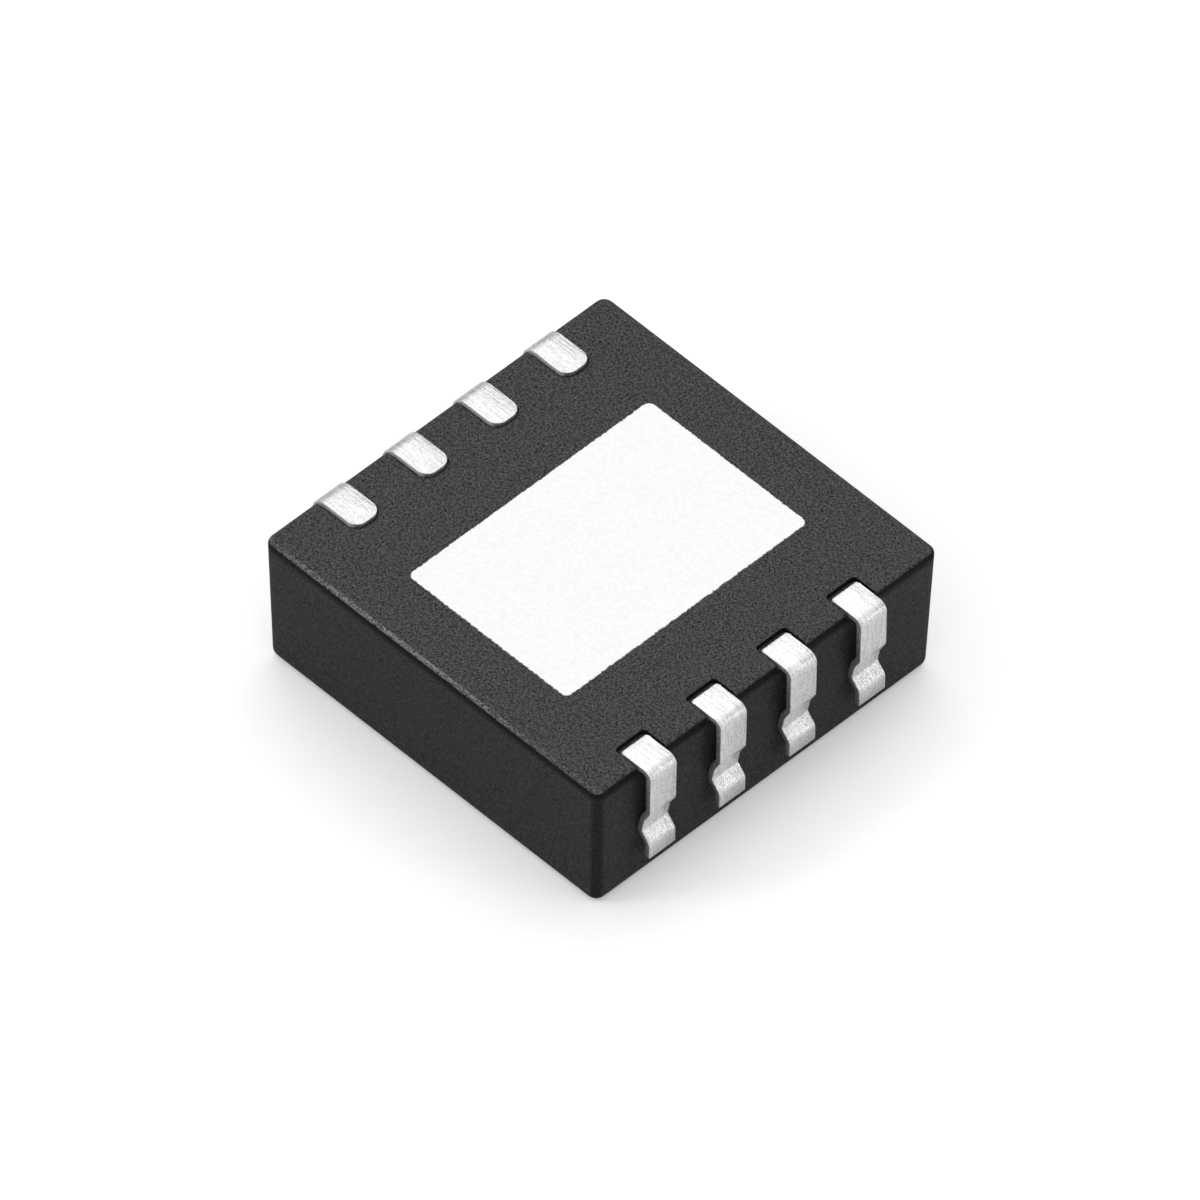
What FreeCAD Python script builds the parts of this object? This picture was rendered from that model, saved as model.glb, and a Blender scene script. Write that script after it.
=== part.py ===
import FreeCAD, Part
import math
import os

from FreeCAD import Vector

# A dual-flat chip, 3 mm square, lying on its marking face with the soldering side up.
# The origin is the centre of the marking face. +Z points to the soldering side.
# Pins 1 to 4 are on the -X side and pins 5 to 8 on the +X side, as the soldering side is seen.

# Moulded body
body_length = 3.0
body_width = 3.0
body_height = 1.080
side_inset = 0.030
upright_edge_radius = 0.075
solder_edge_radius = 0.045
marking_edge_radius = 0.070
dimple_diameter = 0.36
dimple_depth = 0.025
dimple_inset = 0.42

# Die paddle, exposed in the soldering side, with a half-etched rim that the moulding grips
pad_length = 1.433
pad_width = 2.133
pad_shift = 0.060
pad_corner_radius = 0.065
paddle_thickness = 0.20
rim_width = 0.11
rim_thickness = 0.10

# Silicon die and the layer that holds it
die_length = 0.94
die_width = 1.46
die_thickness = 0.15
attach_thickness = 0.020
attach_margin = 0.030

# Lead strip, shared by both rows
leads_per_row = 4
lead_spacing = 0.615
lead_width = 0.230
strip_thickness = 0.042
finger_height = 0.60
finger_reach = 0.50

# Right row (+X): tab flush in a pocket, then a leg with an S-bend and a free foot
right_row_shift = -0.098
right_tab_reach = 0.175
right_tab_end_radius = 0.015
riser_bend_radius = 0.012
leg_standoff = 0.058
fold_radius = 0.024
dip_start_height = 0.705
dip_entry_depth = 0.054
dip_entry_height = 0.622
dip_depth = 0.070
dip_height = 0.510
foot_height = 0.405
leg_end_height = 0.290
dip_start_radius = 0.024
dip_entry_radius = 0.069
dip_radius = 0.054
foot_radius = 0.029
pocket_end_gap = 0.038
pocket_side_gap = 0.016
pocket_corner_radius = 0.030

# Left row (-X): the strip leaves the side wall, runs up it and folds onto the soldering side
left_row_shift = 0.0
left_tab_reach = 0.367
left_tab_sink = 0.012
left_tip_radius = 0.085
wall_bend_radius = 0.020
edge_bend_radius = 0.078
wall_sink = 0.010
groove_width = 0.015
groove_depth = 0.022

# Bond wires, each with a ball on the die and a flattened stitch on the lead's finger.
# They are much finer than the other pieces, so their round section has a few flats.
wire_diameter = 0.025
wire_flats = 8
wire_loop_height = 0.495
wire_corner = 0.050
ball_diameter = 0.062
ball_height = 0.016
stitch_diameter = 0.050
stitch_height = 0.008
bond_pad_inset = 0.085
bond_pad_spacing = 0.38
stitch_inset = 0.085

half_length = body_length / 2
half_width = body_width / 2
solder_face = body_height
paddle_inner_face = solder_face - paddle_thickness
attach_inner_face = paddle_inner_face - attach_thickness
die_inner_face = attach_inner_face - die_thickness
half_strip = strip_thickness / 2
finger_middle = finger_height + half_strip


def rounded_rectangle(length, width, radius, centre_x, height):
    """A flat rounded rectangle, centred on (centre_x, 0) at the given height."""
    x = length / 2 - radius
    y = width / 2 - radius
    diagonal = radius * math.sqrt(0.5)
    corners = [(x, y, 1, 1), (-x, y, -1, 1), (-x, -y, -1, -1), (x, -y, 1, -1)]
    arcs = []
    for corner_x, corner_y, sign_x, sign_y in corners:
        on_side = Vector(centre_x + corner_x + sign_x * radius, corner_y, height)
        middle = Vector(centre_x + corner_x + sign_x * diagonal, corner_y + sign_y * diagonal, height)
        on_end = Vector(centre_x + corner_x, corner_y + sign_y * radius, height)
        ends = (on_side, on_end) if sign_x * sign_y > 0 else (on_end, on_side)
        arcs.append((ends[0], middle, ends[1]))
    edges = []
    for arc, following in zip(arcs, arcs[1:] + arcs[:1]):
        edges.append(Part.Arc(*arc).toShape())
        edges.append(Part.LineSegment(arc[2], following[0]).toShape())
    return Part.Face(Part.Wire(edges))


def block(length, width, thickness, centre_x, bottom):
    """A plain block, centred on (centre_x, 0), standing on the given height."""
    corner = Vector(centre_x - length / 2, -width / 2, bottom)
    return Part.makeBox(length, width, thickness, corner)


class Bend:
    """One rounded corner of a path: where it starts, its middle, where it ends and its centre."""

    def __init__(self, before, corner, after, radius):
        arriving = (corner - before).normalize()
        leaving = (after - corner).normalize()
        half_turn = arriving.getAngle(leaving) / 2
        setback = radius * math.tan(half_turn)
        inward = (leaving - arriving).normalize()
        self.start = corner - arriving * setback
        self.end = corner + leaving * setback
        self.centre = corner + inward * (radius / math.cos(half_turn))
        self.middle = self.centre - inward * radius
        self.radius = radius


def bends_of(points, radii):
    """The bends at the inner points of a path, one radius for each."""
    return [Bend(points[i], points[i + 1], points[i + 2], radius) for i, radius in enumerate(radii)]


def beside(point, along, distance):
    """The point moved sideways in the XZ plane, to the left of the way the path goes."""
    return point + Vector(-along.z, 0, along.x) * distance


def strip_edge(points, bends, distance):
    """The edges of one side of a strip whose middle line follows the points and bends."""
    edges = []
    last = beside(points[0], (points[1] - points[0]).normalize(), distance)
    for bend in bends:
        stretched = []
        for point in (bend.start, bend.middle, bend.end):
            outward = (point - bend.centre).normalize()
            turn = (bend.start - bend.centre).cross(bend.end - bend.centre).y
            side = distance if turn > 0 else -distance
            stretched.append(bend.centre + outward * (bend.radius + side))
        edges.append(Part.LineSegment(last, stretched[0]).toShape())
        edges.append(Part.Arc(*stretched).toShape())
        last = stretched[2]
    end = beside(points[-1], (points[-1] - points[-2]).normalize(), distance)
    edges.append(Part.LineSegment(last, end).toShape())
    return edges


def formed_strip(points, radii, thickness, width, centre_y):
    """A strip of sheet bent along a path in the XZ plane. The radii are those of its middle line."""
    bends = bends_of(points, radii)
    left = strip_edge(points, bends, thickness / 2)
    right = strip_edge(points, bends, -thickness / 2)
    ends = []
    for index in (0, -1):
        this_side = left[index].Vertexes[index].Point
        other_side = right[index].Vertexes[index].Point
        ends.append(Part.LineSegment(this_side, other_side).toShape())
    outline = Part.Wire(Part.__sortEdges__(left + right + ends))
    profile = Part.Face(outline)
    profile.translate(Vector(0, centre_y - width / 2, 0))
    return profile.extrude(Vector(0, width, 0))


def row_positions(shift):
    """The Y position of each lead of a row, from the -Y end."""
    middle = (leads_per_row - 1) / 2
    return [shift + (place - middle) * lead_spacing for place in range(leads_per_row)]


def right_lead(centre_y):
    """A lead of the right row: its inner finger and riser, then its tab, leg and foot."""
    tab_end_x = half_length - right_tab_reach
    tab_middle = solder_face - half_strip
    riser_x = tab_end_x + half_strip
    leg_x = half_length + leg_standoff + half_strip
    inner_points = [
        Vector(half_length - finger_reach, 0, finger_middle),
        Vector(riser_x, 0, finger_middle),
        Vector(riser_x, 0, solder_face),
    ]
    outer_points = [
        Vector(tab_end_x, 0, tab_middle),
        Vector(leg_x, 0, tab_middle),
        Vector(leg_x, 0, dip_start_height),
        Vector(leg_x - dip_entry_depth, 0, dip_entry_height),
        Vector(leg_x - dip_depth, 0, dip_height),
        Vector(leg_x, 0, foot_height),
        Vector(leg_x, 0, leg_end_height),
    ]
    tight_radii = [fold_radius, dip_start_radius, dip_entry_radius, dip_radius, foot_radius]
    inner_radii = [riser_bend_radius + half_strip]
    outer_radii = [radius + half_strip for radius in tight_radii]
    inner = formed_strip(inner_points, inner_radii, strip_thickness, lead_width, centre_y)
    outer = formed_strip(outer_points, outer_radii, strip_thickness, lead_width, centre_y)
    lead = inner.fuse(outer).removeSplitter()
    tab_end = [edge for edge in lead.Edges if is_crossing_edge(edge, tab_end_x, solder_face)]
    return lead.makeFillet(right_tab_end_radius, tab_end)


def is_crossing_edge(edge, x, height):
    """Whether an edge runs along Y at the given X and height."""
    centre = edge.CenterOfMass
    return abs(centre.x - x) < 1e-6 and abs(centre.z - height) < 1e-6


def left_lead(centre_y):
    """A lead of the left row, from its inner finger to its rounded tip on the soldering side."""
    wall_x = -half_length + wall_sink - half_strip
    tab_middle = solder_face - left_tab_sink + half_strip
    tip_x = -half_length + left_tab_reach
    points = [
        Vector(-half_length + finger_reach, 0, finger_middle),
        Vector(wall_x, 0, finger_middle),
        Vector(wall_x, 0, tab_middle),
        Vector(tip_x, 0, tab_middle),
    ]
    radii = [wall_bend_radius + half_strip, edge_bend_radius + half_strip]
    strip = formed_strip(points, radii, strip_thickness, lead_width, centre_y)
    tip_edges = [edge for edge in strip.Edges if is_tip_corner(edge, tip_x)]
    return strip.makeFillet(left_tip_radius, tip_edges)


def is_tip_corner(edge, tip_x):
    """Whether an edge is one of the two upright corners at the tip of a left tab."""
    box = edge.BoundBox
    upright = box.ZLength > strip_thickness / 2 and box.XLength < strip_thickness / 10
    return upright and box.YLength < strip_thickness / 10 and abs(box.XMax - tip_x) < half_strip


def left_tab_outline(centre_y, margin):
    """The outline of a left tab on the soldering side, grown by a margin and open to the left."""
    length = left_tab_reach + margin + solder_edge_radius
    width = lead_width + 2 * margin
    centre_x = -half_length - solder_edge_radius + length / 2
    outline = rounded_rectangle(length, width, left_tip_radius + margin, centre_x, solder_face)
    outline.translate(Vector(0, centre_y, 0))
    return outline


def left_groove(centre_y):
    """The narrow groove that the moulding leaves round a left tab."""
    down = Vector(0, 0, -groove_depth)
    grown = left_tab_outline(centre_y, groove_width).extrude(down)
    return grown.cut(left_tab_outline(centre_y, 0).extrude(down))


def right_pocket(centre_y):
    """The pocket that a right tab lies in, open to the right and rounded at its inner corners."""
    length = right_tab_reach + pocket_end_gap + 2 * leg_standoff
    width = lead_width + 2 * pocket_side_gap
    centre_x = half_length - right_tab_reach - pocket_end_gap + length / 2
    outline = rounded_rectangle(length, width, pocket_corner_radius, centre_x, solder_face)
    outline.translate(Vector(0, centre_y, 0))
    return outline.extrude(Vector(0, 0, -strip_thickness))


def die_paddle():
    """The exposed pad and the thinner, wider rim behind it."""
    exposed = rounded_rectangle(pad_length, pad_width, pad_corner_radius, pad_shift, paddle_inner_face)
    rim = rounded_rectangle(
        pad_length + 2 * rim_width,
        pad_width + 2 * rim_width,
        pad_corner_radius + rim_width,
        pad_shift,
        paddle_inner_face,
    )
    plate = exposed.extrude(Vector(0, 0, paddle_thickness))
    return plate.fuse(rim.extrude(Vector(0, 0, rim_thickness))).removeSplitter()


def die_attach():
    length = die_length + 2 * attach_margin
    width = die_width + 2 * attach_margin
    return block(length, width, attach_thickness, pad_shift, attach_inner_face)


def silicon_die():
    return block(die_length, die_width, die_thickness, pad_shift, die_inner_face)


def round_outline(diameter, centre):
    """A level round outline with flats, about a centre."""
    corners = []
    for flat in range(wire_flats):
        angle = 2 * math.pi * flat / wire_flats
        corners.append(centre + Vector(math.cos(angle), math.sin(angle), 0) * (diameter / 2))
    return Part.makePolygon(corners + corners[:1])


def pressed_end(diameter, height, centre):
    """A flattened end of a bond wire, hanging from the face that it is pressed on."""
    return Part.Face(round_outline(diameter, centre)).extrude(Vector(0, 0, -height))


def bond_wire(side, lead_y, place):
    """A wire from the die's face to a lead's finger. The side is 1 for the right row and -1 for the left."""
    pad_x = pad_shift + side * (die_length / 2 - bond_pad_inset)
    pad_y = (place - (leads_per_row - 1) / 2) * bond_pad_spacing
    stitch_x = side * (half_length - finger_reach + stitch_inset)
    pad = Vector(pad_x, pad_y, die_inner_face)
    stitch = Vector(stitch_x, lead_y, finger_height)
    across = Vector(stitch_x - pad_x, lead_y - pad_y, 0).normalize() * wire_corner
    knee_height = wire_loop_height + wire_corner
    points = [
        pad,
        Vector(pad.x, pad.y, knee_height),
        Vector(pad.x + across.x, pad.y + across.y, wire_loop_height),
        Vector(stitch.x - across.x, stitch.y - across.y, wire_loop_height),
        Vector(stitch.x, stitch.y, knee_height),
        stitch,
    ]
    sweep = Part.BRepOffsetAPI.MakePipeShell(Part.makePolygon(points))
    sweep.setTransitionMode(1)
    sweep.add(round_outline(wire_diameter, pad))
    sweep.build()
    sweep.makeSolid()
    ball = pressed_end(ball_diameter, ball_height, pad)
    flat_end = pressed_end(stitch_diameter, stitch_height, stitch)
    return sweep.shape().fuse([ball, flat_end]).removeSplitter()


def moulding_block():
    """The drafted block with its rounded edges, before anything is set in it."""
    outline_at = {}
    for height, inset in ((0.0, side_inset), (solder_face, 0.0)):
        x = half_length - inset
        y = half_width - inset
        corners = [Vector(-x, -y, height), Vector(x, -y, height), Vector(x, y, height), Vector(-x, y, height)]
        outline_at[height] = Part.makePolygon(corners + corners[:1])
    shape = Part.makeLoft(list(outline_at.values()), True, True)
    upright = [edge for edge in shape.Edges if edge.BoundBox.ZLength > body_height / 2]
    shape = shape.makeFillet(upright_edge_radius, upright)
    for height, radius in ((solder_face, solder_edge_radius), (0.0, marking_edge_radius)):
        rim_edges = [edge for edge in shape.Edges if lies_at(edge, height)]
        shape = shape.makeFillet(radius, rim_edges)
    return shape


def lies_at(edge, height):
    """Whether a whole edge lies at one height."""
    box = edge.BoundBox
    return abs(box.ZMin - height) < 1e-6 and abs(box.ZMax - height) < 1e-6


def pin_one_dimple():
    """The shallow round dimple in the marking face beside pin 1."""
    centre = Vector(-half_length + dimple_inset, -half_width + dimple_inset, 0)
    return Part.makeCylinder(dimple_diameter / 2, dimple_depth, centre)


def save(name, shape):
    """Write one piece, after making sure that it is one sound solid."""
    solid = shape.Solids[0]
    if len(shape.Solids) != 1 or not solid.isValid():
        raise RuntimeError(name + " is not one sound solid")
    solid.exportStep("parts/" + name + ".step")
    print(name, "volume", round(solid.Volume, 5))


def main():
    os.makedirs("parts", exist_ok=True)
    left_row = row_positions(left_row_shift)
    right_row = row_positions(right_row_shift)
    pieces = {"die_paddle": die_paddle(), "die_attach": die_attach(), "silicon_die": silicon_die()}
    for place, centre_y in enumerate(left_row):
        pin = place + 1
        pieces[f"lead_{pin}"] = left_lead(centre_y)
        pieces[f"bond_wire_{pin}"] = bond_wire(-1, centre_y, place)
    for place, centre_y in enumerate(right_row):
        pin = 2 * leads_per_row - place
        pieces[f"lead_{pin}"] = right_lead(centre_y)
        pieces[f"bond_wire_{pin}"] = bond_wire(1, centre_y, place)

    recesses = [pin_one_dimple()]
    recesses += [left_groove(centre_y) for centre_y in left_row]
    recesses += [right_pocket(centre_y) for centre_y in right_row]
    body = moulding_block().cut(recesses).cut(list(pieces.values()))
    pieces["mould_body"] = body
    for name, shape in pieces.items():
        save(name, shape)


main()
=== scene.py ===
import math

import bpy
from mathutils import Matrix, Vector


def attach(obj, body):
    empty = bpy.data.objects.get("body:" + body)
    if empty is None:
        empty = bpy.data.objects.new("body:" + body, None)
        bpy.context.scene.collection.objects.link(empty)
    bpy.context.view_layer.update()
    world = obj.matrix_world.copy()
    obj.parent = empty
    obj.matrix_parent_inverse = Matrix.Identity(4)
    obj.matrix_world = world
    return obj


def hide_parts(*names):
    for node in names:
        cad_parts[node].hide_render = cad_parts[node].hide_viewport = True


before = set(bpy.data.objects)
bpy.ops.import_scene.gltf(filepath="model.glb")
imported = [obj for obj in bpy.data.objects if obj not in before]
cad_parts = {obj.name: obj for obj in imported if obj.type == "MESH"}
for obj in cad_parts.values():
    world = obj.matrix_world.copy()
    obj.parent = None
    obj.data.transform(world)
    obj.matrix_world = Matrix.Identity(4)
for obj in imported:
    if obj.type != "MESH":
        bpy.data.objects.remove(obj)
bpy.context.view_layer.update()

# All sizes of the chip are given in millimetres and multiplied by mm.
mm = 0.001

# Moulded body
half_body = 1.5
body_height = 1.080
side_inset = 0.030
upright_radius = 0.075
solder_edge_radius = 0.045
marking_edge_radius = 0.070
dimple_radius = 0.18
dimple_depth = 0.025
dimple_place = -1.08
dimple_sides = 48

# Exposed pad and its hidden rim
pad_length = 1.433
pad_width = 2.133
pad_shift = 0.060
pad_corner_radius = 0.065
paddle_thickness = 0.20
rim_width = 0.11
rim_thickness = 0.10
pad_seat_depth = 0.030
pad_edge_round = 0.006

# Lead strip
leads_in_row = 4
lead_spacing = 0.615
lead_width = 0.230
strip = 0.042
finger_height = 0.60
finger_end = 1.0
strip_edge_round = 0.006

# Right row: the middle line of its strip and its pockets
right_first_y = -1.0205
right_tab_end = 1.325
riser_radius = 0.033
leg_x = 1.579
fold_radius = 0.045
leg_path = [(1.579, 0.712), (1.530, 0.616), (1.507, 0.492), (1.579, 0.412), (1.579, 0.290)]
leg_radii = [0.045, 0.100, 0.052, 0.045]
tab_end_round = 0.012
tab_corner_round = 0.016
pocket_end_gap = 0.038
pocket_side_gap = 0.016
pocket_corner_radius = 0.030
above_finger = 0.65
rounded_from_x = 1.37

# Left row: the middle line of its strip and its grooves
left_first_y = -0.9225
left_wall_x = -1.511
left_tab_middle = 1.089
left_tip_x = -1.133
left_tip_radius = 0.085
left_wall_radius = 0.041
left_edge_radius = 0.099
left_finger_run = 0.05
groove_width = 0.011
groove_depth = 0.022

# Cutters end at this X beyond the wall and this far above the body.
past_wall = 1.62
past_top = 0.1

# How edges and faces are picked: distances, and the least part of a normal along an axis
same_height = 1e-4
same_place = 1e-3
upright_rise = 0.02
upright_lean = 0.06
squarely = 0.9
smooth_angle = math.radians(32)
sharp_angle = math.radians(40)
weld_distance = 0.00002

# Steps of the rounded edges and of the bends
wide_steps = 8
edge_steps = 6
corner_steps = 3
strip_steps = 2
bend_step_degrees = 6
least_bend_steps = 3

# Grains: the number to a millimetre, the detail and the harshness
coarse_grain = (62.0, 3.0, 0.75)
fine_grain = (130.0, 2.0, 0.7)
tin_specks = (66.0, 3.0, 0.7)
ragged_grain = (55.0, 3.0, 0.7)
pad_specks = (45.0, 3.0, 0.6)
mottle_grain = (20.0, 3.0, 0.6)
middle_grain = (0.3, 0.7)
narrow_grain = (0.35, 0.65)

# Black compound: the dark and light of its grain, the painted shade of its bends and the painted
# highlight of its lip
compound_low = (0.010, 0.0105, 0.0115, 1.0)
compound_high = (0.143, 0.146, 0.152, 1.0)
compound_shadow = (0.004, 0.004, 0.0045, 1.0)
# The light grey of the painted highlight on the front lip
lip_highlight_colour = (0.44, 0.445, 0.45, 1.0)
compound_roughness = (0.58, 0.40)
compound_shine = 0.07
compound_relief = 0.020
coarse_share = 0.55
grain_range = (-0.09, 0.10)

# The sides have a weaker grain than the top, and painted shade that darkens them. Ranges are parts of a
# normal along an axis.
side_to_top = (0.3, 0.6)
side_grain = 0.6
side_painted_shade = -0.016

# The painted shade in the bend below the upper edges: its heights in millimetres and its slants. It
# reaches higher up the edge on the sides that face away from the lip.
bend_shade_heights = (0.985, 1.025)
bend_shade_slants = (0.60, 0.44)
bend_shade_darkness = 0.88
away_range = (0.15, 0.45)
away_shift = 0.22

# The painted shade bands of the upright edges
upright_shade_slants = (0.5, 0.2)
corner_shade_range = (0.12, 0.42)
corner_shade_darkness = 0.55

# The painted highlight on the lip of the front edge, and how it comes and goes along X
lip_outer = (0.50, 0.64)
lip_inner = (0.995, 0.93)
lip_front = (-0.05, -0.20)
lip_start = (-1.45, -0.9, 0.3, 0.8)
lip_end = (0.0, 1.2, 0.8, 0.2)
lip_grain = (0.42, 0.58)

# Tin plate of the leads, the painted shade of the left row, and the leads' sheared sides
tin_low = (0.70, 0.695, 0.69, 1.0)
tin_high = (0.985, 0.985, 0.98, 1.0)
tin_grain = (0.40, 0.58)
tin_stretch = (7.0, 72.0, 7.0)
line_detail = 3.0
line_harshness = 0.6
line_colour_share = 0.45
line_relief_share = 0.6
tin_roughness = (0.24, 0.38)
tin_relief = 0.009
tin_relief_strength = 0.9
# Painted shade that darkens the tin of the left row
left_row_painted_shade = 0.07
sheared_low = (0.30, 0.28, 0.26, 1.0)
sheared_high = (0.52, 0.49, 0.46, 1.0)
sheared_range = (0.75, 0.9)
tin_metallic = 0.9
sheared_metallic = 0.25

# Matt tin of the pad, and the compound that covers its edge
pad_low = 0.91
pad_high = 0.97
pad_metallic = 0.55
pad_roughness = 0.62
pad_relief = 0.003
pad_relief_strength = 0.4
cover_shade = 0.06
cover_range = (-0.010, -0.004)
ragged_width = 0.035

# Hidden pieces: colour, metallic and roughness
silicon_finish = ((0.18, 0.19, 0.21), 0.0, 0.25)
solder_finish = ((0.55, 0.55, 0.56), 0.8, 0.5)
gold_finish = ((0.90, 0.72, 0.32), 1.0, 0.25)
mottle_low = 0.92

# Table: its size in metres and its shades. It is a hair below the chip, so that the two faces
# don't share one plane.
table_size = 4.0
table_gap = 0.003
table_seen = 0.97
table_mirrored = 0.80
table_lighting = 0.10
table_glow = 0.215

# White room: its light near the horizon and overhead
horizon_to_overhead = (0.08, 0.66)
overhead_light = 0.95

# Lamps: their distance in metres
lamp_distance = 0.5

# Camera: angles in degrees, the width of its picture and its shifts in millimetres
camera_azimuth = 44.775
camera_elevation = 48.317
camera_roll = 1.051
camera_lens = 1500.0
camera_sensor = 36.0
picture_width = 7.528
target_height = 0.54
shift_up = 0.0060
shift_left = 0.001
nearest_seen = 0.01
farthest_seen = 20.0

# A mix node's colour sockets, by number, because its other sockets share their names
mix_first = 6
mix_second = 7
mix_result = 2


def leave_edit_mode():
    if bpy.context.mode != "OBJECT":
        bpy.ops.object.mode_set(mode="OBJECT")


def only(piece):
    """Make one piece the only selected and active one, in object mode."""
    leave_edit_mode()
    bpy.ops.object.select_all(action="DESELECT")
    piece.select_set(True)
    bpy.context.view_layer.objects.active = piece


def new_block(name, low, high):
    """A box between two corners given in millimetres."""
    leave_edit_mode()
    bpy.ops.object.select_all(action="DESELECT")
    low = Vector(low) * mm
    high = Vector(high) * mm
    bpy.ops.mesh.primitive_cube_add(size=1.0, location=(low + high) / 2, scale=high - low)
    bpy.ops.object.transform_apply(location=True, rotation=False, scale=True)
    block = bpy.context.active_object
    block.name = name
    block.data.name = name
    return block


def pick_faces(piece, wanted):
    """Select the faces that pass a test, and go to edit mode."""
    only(piece)
    bpy.context.tool_settings.mesh_select_mode = (False, False, True)
    mesh = piece.data
    mesh.vertices.foreach_set("select", [False] * len(mesh.vertices))
    mesh.edges.foreach_set("select", [False] * len(mesh.edges))
    for face in mesh.polygons:
        face.select = wanted(face)
    bpy.ops.object.mode_set(mode="EDIT")


def pick_edges(piece, wanted):
    """Select the edges whose two ends pass a test, and go to edit mode."""
    only(piece)
    bpy.context.tool_settings.mesh_select_mode = (False, True, False)
    mesh = piece.data
    mesh.vertices.foreach_set("select", [False] * len(mesh.vertices))
    mesh.polygons.foreach_set("select", [False] * len(mesh.polygons))
    for edge in mesh.edges:
        first, second = [mesh.vertices[index].co / mm for index in edge.vertices]
        edge.select = wanted(first, second)
    bpy.ops.object.mode_set(mode="EDIT")


def bevel_picked(width, segments):
    bpy.ops.mesh.bevel(
        offset=width * mm, offset_type="OFFSET", segments=segments, profile=0.5, affect="EDGES"
    )
    leave_edit_mode()


def is_upright(first, second):
    rises = abs(first.z - second.z) > upright_rise
    return rises and (first.xy - second.xy).length < upright_lean


def lies_at(height):
    return lambda first, second: max(abs(first.z - height), abs(second.z - height)) < same_height


def pull(dx, dy, dz):
    """Extrude the selected face by a vector in millimetres."""
    step = (dx * mm, dy * mm, dz * mm)
    bpy.ops.mesh.extrude_region_move(TRANSFORM_OT_translate={"value": step})


def turn(centre_x, centre_z, angle):
    """Carry the selected face round a centre. A positive angle turns +X towards -Z."""
    steps = max(least_bend_steps, round(abs(math.degrees(angle)) / bend_step_degrees))
    centre = (centre_x * mm, 0, centre_z * mm)
    bpy.ops.mesh.spin(
        steps=steps, angle=-angle, center=centre, axis=(0, 1, 0), use_auto_merge=False
    )


def follow(start, corners, radii):
    """Carry the selected face along a path in the XZ plane, rounding its inner corners.

    The start and the corners are points of the strip's middle line.
    """
    here = Vector(start)
    points = [here] + [Vector(corner) for corner in corners]
    for index, radius in enumerate(radii):
        before, corner, after = points[index:index + 3]
        arriving = (corner - before).normalized()
        leaving = (after - corner).normalized()
        angle = arriving.angle(leaving)
        setback = radius * math.tan(angle / 2)
        bend_start = corner - arriving * setback
        run = bend_start - here
        pull(run.x, 0, run.y)
        side = arriving.x * leaving.y - arriving.y * leaving.x
        inward = Vector((-arriving.y, arriving.x)) * (1 if side > 0 else -1)
        centre = bend_start + inward * radius
        turn(centre.x, centre.y, angle if side < 0 else -angle)
        here = corner + leaving * setback
    run = points[-1] - here
    pull(run.x, 0, run.y)


def finish_mesh(piece):
    """Join stray doubles, turn the faces outward and shade the flat faces flat and the bends smooth."""
    only(piece)
    bpy.ops.object.mode_set(mode="EDIT")
    bpy.ops.mesh.select_all(action="SELECT")
    bpy.ops.mesh.remove_doubles(threshold=weld_distance * mm)
    bpy.ops.mesh.normals_make_consistent(inside=False)
    leave_edit_mode()
    bpy.ops.object.shade_smooth_by_angle(angle=smooth_angle)
    weighted = piece.modifiers.new("weighted normals", "WEIGHTED_NORMAL")
    weighted.keep_sharp = True
    bpy.ops.object.modifier_apply(modifier=weighted.name)


def soften_sharp_edges(piece, width, wanted=lambda first, second: True):
    """Round the sharp edges that pass a test."""
    only(piece)
    bpy.ops.object.mode_set(mode="EDIT")
    bpy.context.tool_settings.mesh_select_mode = (False, True, False)
    bpy.ops.mesh.select_all(action="DESELECT")
    bpy.ops.mesh.edges_select_sharp(sharpness=sharp_angle)
    leave_edit_mode()
    sharp = {frozenset(edge.vertices) for edge in piece.data.edges if edge.select}
    places = [vertex.co / mm for vertex in piece.data.vertices]
    chosen = {ends for ends in sharp if wanted(*[places[index] for index in ends])}
    mesh = piece.data
    mesh.vertices.foreach_set("select", [False] * len(mesh.vertices))
    mesh.polygons.foreach_set("select", [False] * len(mesh.polygons))
    for edge in mesh.edges:
        edge.select = frozenset(edge.vertices) in chosen
    bpy.ops.object.mode_set(mode="EDIT")
    bevel_picked(width, strip_steps)


def copies_along_row(piece, names):
    """The piece and its copies along the row, one spacing apart. Each copy has a mesh of its own."""
    piece.name = names[0]
    piece.data.name = names[0]
    row = [piece]
    for name in names[1:]:
        only(row[-1])
        bpy.ops.object.duplicate(linked=False)
        copy = bpy.context.active_object
        copy.name = name
        copy.data.name = name
        bpy.ops.object.mode_set(mode="EDIT")
        bpy.ops.mesh.select_all(action="SELECT")
        bpy.ops.transform.translate(value=(0, lead_spacing * mm, 0))
        leave_edit_mode()
        row.append(copy)
    return row


def cut_away(piece, cutters):
    for cutter in cutters:
        only(piece)
        cut = piece.modifiers.new("cut", "BOOLEAN")
        cut.operation = "DIFFERENCE"
        cut.solver = "EXACT"
        cut.object = cutter
        bpy.ops.object.modifier_apply(modifier=cut.name)
        bpy.data.objects.remove(cutter)


def rounded_plate(name, length, width, radius, centre_x, bottom, top):
    plate = new_block(
        name,
        (centre_x - length / 2, -width / 2, bottom),
        (centre_x + length / 2, width / 2, top),
    )
    pick_edges(plate, is_upright)
    bevel_picked(radius, wide_steps)
    return plate


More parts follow.
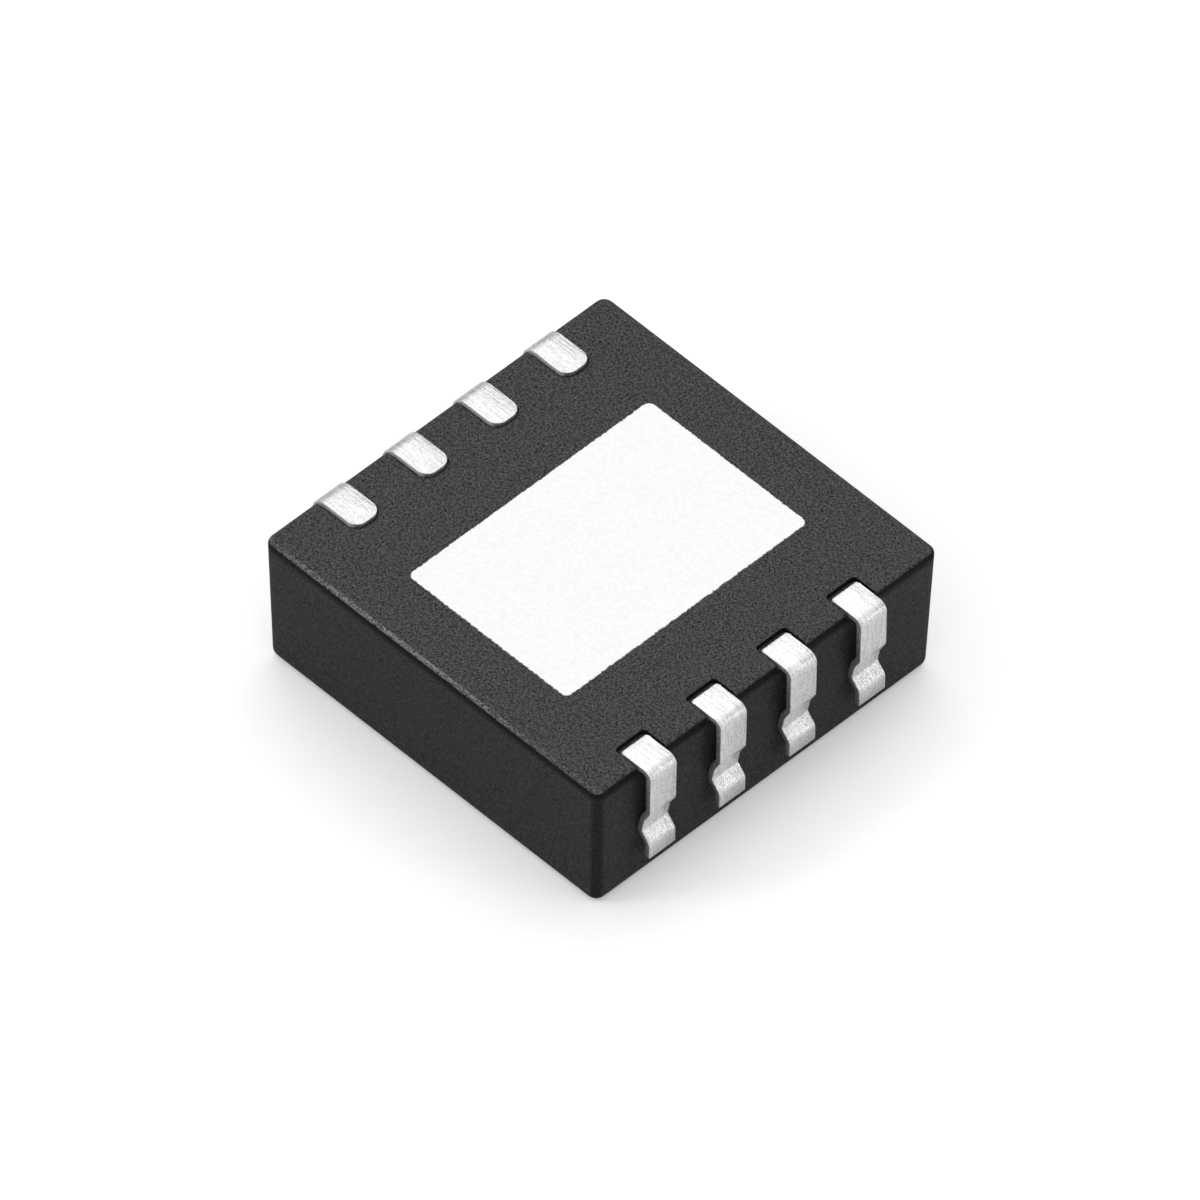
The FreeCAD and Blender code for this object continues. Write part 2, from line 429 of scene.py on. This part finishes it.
def moulding_cutters():
    """The pad's seat, the pockets, the grooves and the dimple that are cut from the body."""
    above = body_height + past_top
    cutters = [
        rounded_plate(
            "pad_seat", pad_length, pad_width, pad_corner_radius,
            pad_shift, body_height - pad_seat_depth, above,
        )
    ]
    for place in range(leads_in_row):
        middle = right_first_y + place * lead_spacing
        side = lead_width / 2 + pocket_side_gap
        low = (right_tab_end - pocket_end_gap, middle - side, body_height - strip)
        pocket = new_block("pocket", low, (past_wall, middle + side, above))
        pick_edges(pocket, lambda a, b: is_upright(a, b) and a.x < half_body)
        bevel_picked(pocket_corner_radius, edge_steps)
        cutters.append(pocket)
        middle = left_first_y + place * lead_spacing
        side = lead_width / 2 + groove_width
        groove = new_block(
            "groove",
            (-past_wall, middle - side, body_height - groove_depth),
            (left_tip_x + groove_width, middle + side, above),
        )
        pick_edges(groove, lambda a, b: is_upright(a, b) and a.x > -half_body)
        bevel_picked(left_tip_radius + groove_width, wide_steps)
        cutters.append(groove)
    leave_edit_mode()
    bpy.ops.object.select_all(action="DESELECT")
    bpy.ops.mesh.primitive_cylinder_add(
        vertices=dimple_sides,
        radius=dimple_radius * mm,
        depth=2 * dimple_depth * mm,
        location=(dimple_place * mm, dimple_place * mm, 0),
    )
    bpy.ops.object.transform_apply(location=True)
    cutters.append(bpy.context.active_object)
    return cutters


def make_moulding():
    body = new_block("moulding", (-half_body, -half_body, 0), (half_body, half_body, body_height))
    pick_faces(body, lambda face: face.normal.z < -squarely)
    narrower = (half_body - side_inset) / half_body
    bpy.ops.transform.resize(value=(narrower, narrower, 1), center_override=(0, 0, 0))
    leave_edit_mode()
    pick_edges(body, lambda a, b: abs(a.z - b.z) > body_height / 2)
    bevel_picked(upright_radius, wide_steps)
    pick_edges(body, lies_at(body_height))
    bevel_picked(solder_edge_radius, edge_steps)
    pick_edges(body, lies_at(0))
    bevel_picked(marking_edge_radius, edge_steps)
    cut_away(body, moulding_cutters())
    finish_mesh(body)
    return body


def make_pad():
    """The rim first, then the exposed plate drawn out of it."""
    bottom = body_height - paddle_thickness
    pad = rounded_plate(
        "heat_pad", pad_length + 2 * rim_width, pad_width + 2 * rim_width,
        pad_corner_radius + rim_width, pad_shift, bottom, bottom + rim_thickness,
    )
    pick_faces(pad, lambda face: face.normal.z > squarely)
    bpy.ops.mesh.inset(thickness=rim_width * mm)
    pull(0, 0, paddle_thickness - rim_thickness)
    leave_edit_mode()
    pick_edges(pad, lies_at(body_height))
    bevel_picked(pad_edge_round, corner_steps)
    finish_mesh(pad)
    return pad


def is_tab_corner(first, second):
    at_end = abs(first.x - right_tab_end) < same_place
    return is_upright(first, second) and at_end and min(first.z, second.z) > above_finger


def is_on_tab_end(first, second):
    reach = right_tab_end + tab_corner_round + same_place
    return lies_at(body_height)(first, second) and max(first.x, second.x) < reach


def make_right_lead():
    """Finger, riser, tab, fold and leg of the first lead of the right row."""
    low_y = right_first_y - lead_width / 2
    high_y = right_first_y + lead_width / 2
    riser_x = right_tab_end + strip / 2
    turn_start = riser_x - riser_radius
    lead = new_block(
        "right_lead",
        (finger_end, low_y, finger_height),
        (turn_start, high_y, finger_height + strip),
    )
    pick_faces(lead, lambda face: face.normal.x > squarely)
    middle = finger_height + strip / 2
    turn(turn_start, middle + riser_radius, -math.pi / 2)
    pull(0, 0, body_height - strip - middle - riser_radius)
    pull(0, 0, strip)
    leave_edit_mode()
    under_top = (body_height - strip) * mm
    pick_faces(lead, lambda face: face.normal.x > squarely and face.center.z > under_top)
    start = (right_tab_end + strip, body_height - strip / 2)
    corners = [(leg_x, body_height - strip / 2)] + leg_path
    follow(start, corners, [fold_radius] + leg_radii)
    leave_edit_mode()
    pick_edges(lead, is_tab_corner)
    bevel_picked(tab_corner_round, corner_steps)
    pick_edges(lead, is_on_tab_end)
    bevel_picked(tab_end_round, corner_steps)
    soften_sharp_edges(lead, strip_edge_round, lambda a, b: max(a.x, b.x) > rounded_from_x)
    finish_mesh(lead)
    return lead


def make_left_lead():
    """Finger, riser along the wall, fold and rounded tab of the first lead of the left row."""
    low_y = left_first_y - lead_width / 2
    high_y = left_first_y + lead_width / 2
    start_x = -finger_end - left_finger_run
    lead = new_block(
        "left_lead",
        (start_x, low_y, finger_height),
        (-finger_end, high_y, finger_height + strip),
    )
    pick_faces(lead, lambda face: face.normal.x < -squarely)
    middle = finger_height + strip / 2
    corners = [(left_wall_x, middle), (left_wall_x, left_tab_middle), (left_tip_x, left_tab_middle)]
    follow((start_x, middle), corners, [left_wall_radius, left_edge_radius])
    leave_edit_mode()
    pick_edges(lead, lambda a, b: is_upright(a, b) and abs(a.x - left_tip_x) < same_place)
    bevel_picked(left_tip_radius, wide_steps)
    soften_sharp_edges(lead, strip_edge_round)
    finish_mesh(lead)
    return lead


moulding = make_moulding()
heat_pad = make_pad()
right_pins = (8, 7, 6, 5)
left_pins = (1, 2, 3, 4)
right_leads = copies_along_row(make_right_lead(), [f"right_lead_{pin}" for pin in right_pins])
left_leads = copies_along_row(make_left_lead(), [f"left_lead_{pin}" for pin in left_pins])


class Nodes:
    """A node tree with short ways to add its nodes and join them."""

    def __init__(self, tree):
        self.tree = tree

    def add(self, kind, inputs=None, **settings):
        node = self.tree.nodes.new(kind)
        for name, value in settings.items():
            setattr(node, name, value)
        for key, value in (inputs or {}).items():
            self.put(value, node.inputs[key])
        return node

    def put(self, value, socket):
        if isinstance(value, bpy.types.NodeSocket):
            self.tree.links.new(value, socket)
        else:
            socket.default_value = value

    def math(self, operation, first, second=0.0):
        return self.add("ShaderNodeMath", {0: first, 1: second}, operation=operation).outputs[0]

    def times(self, first, second):
        return self.math("MULTIPLY", first, second)

    def weighted(self, first, share, second):
        """The first value by its share and the second by the rest."""
        return self.math("ADD", self.times(first, share), self.times(second, 1.0 - share))

    def axes(self, vector):
        return self.add("ShaderNodeSeparateXYZ", {0: vector}).outputs

    def blend(self, factor, first, second):
        node = self.add("ShaderNodeMix", {"Factor": factor}, data_type="RGBA")
        self.put(first, node.inputs[mix_first])
        self.put(second, node.inputs[mix_second])
        return node.outputs[mix_result]

    def noise(self, vector, scale, detail, harshness):
        values = {"Vector": vector, "Scale": scale, "Detail": detail, "Roughness": harshness}
        return self.add("ShaderNodeTexNoise", values).outputs["Fac"]

    def grain(self, per_mm, detail, harshness):
        values = {"Grains per mm": per_mm, "Detail": detail, "Harshness": harshness}
        return self.add("ShaderNodeGroup", values, node_tree=grain_tree).outputs["Grain"]

    def spread(self, value, low, high, to_low=0.0, to_high=1.0):
        values = {"Value": value, "From Min": low, "From Max": high, "To Min": to_low, "To Max": to_high}
        return self.add("ShaderNodeMapRange", values).outputs["Result"]

    def relief(self, shader, height, strength, depth):
        """Give a shader a relief of this depth in millimetres."""
        values = {"Height": height, "Strength": strength, "Distance": depth * mm}
        self.put(self.add("ShaderNodeBump", values).outputs["Normal"], shader.inputs["Normal"])


def grain_group():
    """Fine grain of a surface, by the number of grains to a millimetre."""
    tree = bpy.data.node_groups.new("grain", "ShaderNodeTree")
    for name in ("Grains per mm", "Detail", "Harshness"):
        tree.interface.new_socket(name, in_out="INPUT", socket_type="NodeSocketFloat")
    tree.interface.new_socket("Grain", in_out="OUTPUT", socket_type="NodeSocketFloat")
    nodes = Nodes(tree)
    wanted = nodes.add("NodeGroupInput").outputs
    place = nodes.add("ShaderNodeTexCoord").outputs["Object"]
    scale = nodes.math("DIVIDE", wanted["Grains per mm"], mm)
    fac = nodes.noise(place, scale, wanted["Detail"], wanted["Harshness"])
    nodes.add("NodeGroupOutput", {"Grain": fac})
    return tree


grain_tree = grain_group()


def shade(value):
    """A neutral colour of one lightness."""
    return (value, value, value, 1.0)


def new_material(name):
    material = bpy.data.materials.new(name)
    material.use_nodes = True
    nodes = Nodes(material.node_tree)
    shader = material.node_tree.nodes["Principled BSDF"]
    return material, nodes, shader


def in_millimetres(nodes):
    """Object coordinates in millimetres."""
    coordinates = nodes.add("ShaderNodeTexCoord").outputs["Object"]
    scaled = nodes.add("ShaderNodeVectorMath", {0: coordinates}, operation="SCALE")
    scaled.inputs["Scale"].default_value = 1 / mm
    return scaled.outputs[0]


def moulding_material():
    """Black compound with a fine grain, painted shade on its sides and in the bends of its upper and
    upright edges, and a painted highlight on one lip.
    """
    material, nodes, shader = new_material("mould_compound")
    facing = nodes.axes(nodes.add("ShaderNodeTexCoord").outputs["Normal"])
    place = nodes.axes(in_millimetres(nodes))
    sizes = {axis: nodes.math("ABSOLUTE", facing[axis]) for axis in "XYZ"}
    fine = nodes.grain(*fine_grain)
    grain = nodes.weighted(nodes.grain(*coarse_grain), coarse_share, fine)
    depth = nodes.spread(facing["Z"], *side_to_top, side_grain, 1.0)
    relief = nodes.times(nodes.math("SUBTRACT", grain, 0.5), depth)
    # The sides' colour is darkened: painted shade.
    dimmed = nodes.math("ADD", relief, nodes.spread(facing["Z"], *side_to_top, side_painted_shade, 0.0))
    colour = nodes.blend(nodes.spread(dimmed, *grain_range), compound_low, compound_high)

    # Painted shade: a dark band in the bend below the upper edges and on the upright edges, in
    # compound_shadow.
    away = nodes.spread(nodes.math("ADD", facing["X"], facing["Y"]), *away_range, 0.0, away_shift)
    slant = nodes.math("SUBTRACT", facing["Z"], away)
    bend = nodes.times(nodes.spread(place["Z"], *bend_shade_heights), nodes.spread(slant, *bend_shade_slants))
    sideways = nodes.math("MINIMUM", sizes["X"], sizes["Y"])
    corner = nodes.times(
        nodes.spread(sideways, *corner_shade_range, 0.0, corner_shade_darkness),
        nodes.spread(sizes["Z"], *upright_shade_slants),
    )
    dark = nodes.math("MAXIMUM", nodes.times(bend, bend_shade_darkness), corner)
    colour = nodes.blend(dark, colour, compound_shadow)

    # Painted highlight: a light granular band on the front lip.
    lip = nodes.times(nodes.spread(facing["Z"], *lip_outer), nodes.spread(facing["Z"], *lip_inner))
    coming = nodes.spread(place["X"], *lip_start)
    going = nodes.spread(place["X"], *lip_end)
    front = nodes.times(nodes.spread(facing["Y"], *lip_front), nodes.math("MINIMUM", coming, going))
    lip_painted_highlight = nodes.times(nodes.times(lip, front), nodes.spread(grain, *lip_grain))
    colour = nodes.blend(lip_painted_highlight, colour, lip_highlight_colour)

    nodes.put(colour, shader.inputs["Base Color"])
    nodes.put(nodes.spread(fine, *middle_grain, *compound_roughness), shader.inputs["Roughness"])
    shader.inputs["Specular IOR Level"].default_value = compound_shine
    nodes.relief(shader, relief, 1.0, compound_relief)
    return material


def tin_material():
    """Tin plate with a fine grain along the strip, on leads that were sheared at their sides. The left
    row's tin is darkened as painted shade.
    """
    material, nodes, shader = new_material("tinned_copper")
    place = in_millimetres(nodes)
    stretch = nodes.add("ShaderNodeMapping", {"Vector": place, "Scale": tin_stretch})
    lines = nodes.noise(stretch.outputs["Vector"], 1.0, line_detail, line_harshness)
    specks = nodes.grain(*tin_specks)
    mixed = nodes.weighted(lines, line_colour_share, specks)
    colour = nodes.blend(nodes.spread(mixed, *tin_grain), tin_low, tin_high)

    # The left row's tin is darkened: painted shade.
    on_right_row = nodes.math("GREATER_THAN", nodes.axes(place)["X"], 0.0)
    left_row_shaded = nodes.blend(left_row_painted_shade, colour, shade(0.0))
    colour = nodes.blend(on_right_row, left_row_shaded, colour)
    across = nodes.axes(nodes.add("ShaderNodeTexCoord").outputs["Normal"])["Y"]
    side = nodes.spread(nodes.math("ABSOLUTE", across), *sheared_range)
    side_colour = nodes.blend(nodes.spread(specks, *narrow_grain), sheared_low, sheared_high)
    colour = nodes.blend(nodes.times(side, on_right_row), colour, side_colour)

    nodes.put(colour, shader.inputs["Base Color"])
    nodes.put(nodes.spread(side, 0.0, 1.0, tin_metallic, sheared_metallic), shader.inputs["Metallic"])
    nodes.put(nodes.spread(specks, *middle_grain, *tin_roughness), shader.inputs["Roughness"])
    height = nodes.weighted(lines, line_relief_share, specks)
    nodes.relief(shader, height, tin_relief_strength, tin_relief)
    return material


def pad_material():
    """Matt tin on the wide pad, with a ragged line of compound round its edge."""
    material, nodes, shader = new_material("pad_tin")
    place = nodes.axes(in_millimetres(nodes))
    along = nodes.math("ABSOLUTE", nodes.math("SUBTRACT", place["X"], pad_shift))
    across = nodes.math("ABSOLUTE", place["Y"])
    past_end = nodes.math("SUBTRACT", along, pad_length / 2)
    past_side = nodes.math("SUBTRACT", across, pad_width / 2)
    past_edge = nodes.math("MAXIMUM", past_end, past_side)
    ragged = nodes.times(nodes.math("SUBTRACT", nodes.grain(*ragged_grain), 0.5), ragged_width)
    covered = nodes.spread(nodes.math("ADD", past_edge, ragged), *cover_range)
    specks = nodes.grain(*pad_specks)
    tin = nodes.blend(nodes.spread(specks, *narrow_grain), shade(pad_low), shade(pad_high))
    nodes.put(nodes.blend(covered, tin, shade(cover_shade)), shader.inputs["Base Color"])
    nodes.put(nodes.spread(covered, 0.0, 1.0, pad_metallic, 0.0), shader.inputs["Metallic"])
    shader.inputs["Roughness"].default_value = pad_roughness
    nodes.relief(shader, specks, pad_relief_strength, pad_relief)
    return material


def plain_material(name, colour, metallic, roughness):
    material, nodes, shader = new_material(name)
    mottle = nodes.spread(nodes.grain(*mottle_grain), *middle_grain, mottle_low, 1.0)
    joined = nodes.add("ShaderNodeCombineColor", {0: mottle, 1: mottle, 2: mottle})
    tint = nodes.add("ShaderNodeMix", {"Factor": 1.0}, data_type="RGBA", blend_type="MULTIPLY")
    nodes.put((*colour, 1.0), tint.inputs[mix_first])
    nodes.put(joined.outputs[0], tint.inputs[mix_second])
    nodes.put(tint.outputs[mix_result], shader.inputs["Base Color"])
    shader.inputs["Metallic"].default_value = metallic
    shader.inputs["Roughness"].default_value = roughness
    return material


def floor_material():
    """White where the camera looks, and duller where it lights the chip from below."""
    material, nodes, shader = new_material("white_table")
    path = nodes.add("ShaderNodeLightPath").outputs
    seen = path["Is Camera Ray"]
    unseen = nodes.blend(path["Is Glossy Ray"], shade(table_lighting), shade(table_mirrored))
    nodes.put(nodes.blend(seen, unseen, shade(table_seen)), shader.inputs["Base Color"])
    shader.inputs["Emission Color"].default_value = shade(1.0)
    nodes.put(nodes.times(seen, table_glow), shader.inputs["Emission Strength"])
    shader.inputs["Roughness"].default_value = 1.0
    shader.inputs["Specular IOR Level"].default_value = 0.0
    return material


def use_material(piece, material):
    piece.data.materials.clear()
    piece.data.materials.append(material)


def dress(piece, node, material):
    use_material(piece, material)
    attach(piece, "root")
    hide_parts(node)


mould_compound = moulding_material()
tinned_copper = tin_material()
pad_tin = pad_material()
dress(moulding, "mould_body", mould_compound)
dress(heat_pad, "die_paddle", pad_tin)
for lead, pin in zip(right_leads, right_pins):
    dress(lead, f"lead_{pin}", tinned_copper)
for lead, pin in zip(left_leads, left_pins):
    dress(lead, f"lead_{pin}", tinned_copper)

silicon = plain_material("silicon", *silicon_finish)
solder = plain_material("attach_solder", *solder_finish)
gold = plain_material("gold_wire", *gold_finish)
for name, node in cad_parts.items():
    if name == "silicon_die":
        use_material(node, silicon)
    elif name == "die_attach":
        use_material(node, solder)
    elif name.startswith("bond_wire"):
        use_material(node, gold)


def make_floor():
    leave_edit_mode()
    bpy.ops.object.select_all(action="DESELECT")
    bpy.ops.mesh.primitive_plane_add(size=table_size, location=(0, 0, -table_gap * mm))
    floor = bpy.context.active_object
    floor.name = "table"
    use_material(floor, floor_material())


def make_world():
    """White to the camera. As a light it is bright overhead and dim near the horizon."""
    world = bpy.data.worlds.new("white_room")
    bpy.context.scene.world = world
    world.use_nodes = True
    nodes = Nodes(world.node_tree)
    way = nodes.add("ShaderNodeTexCoord").outputs["Object"]
    height = nodes.math("ABSOLUTE", nodes.axes(way)["Z"])
    light = nodes.spread(height, *horizon_to_overhead, 0.0, overhead_light)
    seen = nodes.add("ShaderNodeLightPath").outputs["Is Camera Ray"]
    background = world.node_tree.nodes["Background"]
    background.inputs["Color"].default_value = shade(1.0)
    strength = nodes.add("ShaderNodeMix", {"Factor": seen, "A": light, "B": 1.0}, data_type="FLOAT")
    nodes.put(strength.outputs[0], background.inputs["Strength"])


def soft_lamp(name, direction, size, radiance):
    """A square lamp facing the chip. Its radiance 1 is as bright as white paper in full light."""
    data = bpy.data.lights.new(name, "AREA")
    data.shape = "SQUARE"
    data.size = size
    data.energy = radiance * math.pi * size * size
    lamp = bpy.data.objects.new(name, data)
    bpy.context.scene.collection.objects.link(lamp)
    way = Vector(direction).normalized()
    lamp.location = way * lamp_distance
    lamp.rotation_euler = way.to_track_quat("Z", "Y").to_euler()


def make_camera():
    azimuth = math.radians(camera_azimuth)
    elevation = math.radians(camera_elevation)
    roll = math.radians(camera_roll)
    distance = picture_width * camera_lens / camera_sensor
    right = Vector((math.cos(azimuth), math.sin(azimuth), 0))
    back = Vector((
        math.sin(azimuth) * math.cos(elevation),
        -math.cos(azimuth) * math.cos(elevation),
        math.sin(elevation),
    ))
    up = back.cross(right)
    turned_right = right * math.cos(roll) + up * math.sin(roll)
    turned_up = up * math.cos(roll) - right * math.sin(roll)
    data = bpy.data.cameras.new("camera")
    data.sensor_width = camera_sensor
    data.lens = camera_lens
    data.clip_start = nearest_seen
    data.clip_end = farthest_seen
    camera = bpy.data.objects.new("camera", data)
    bpy.context.scene.collection.objects.link(camera)
    target = Vector((0, 0, target_height))
    place = target + back * distance + turned_up * shift_up - turned_right * shift_left
    camera.matrix_world = Matrix((
        (turned_right.x, turned_up.x, back.x, place.x * mm),
        (turned_right.y, turned_up.y, back.y, place.y * mm),
        (turned_right.z, turned_up.z, back.z, place.z * mm),
        (0, 0, 0, 1),
    ))
    bpy.context.scene.camera = camera


make_floor()
make_world()
soft_lamp("back_softbox", direction=(-0.47, 0.47, 0.747), size=0.5, radiance=0.50)
soft_lamp("front_softbox", direction=(-0.45, -0.62, 0.64), size=0.11, radiance=9.0)
soft_lamp("side_softbox", direction=(0.86, 0.47, 0.20), size=0.12, radiance=6.0)
make_camera()
bpy.context.scene.view_settings.view_transform = "Standard"

leave_edit_mode()
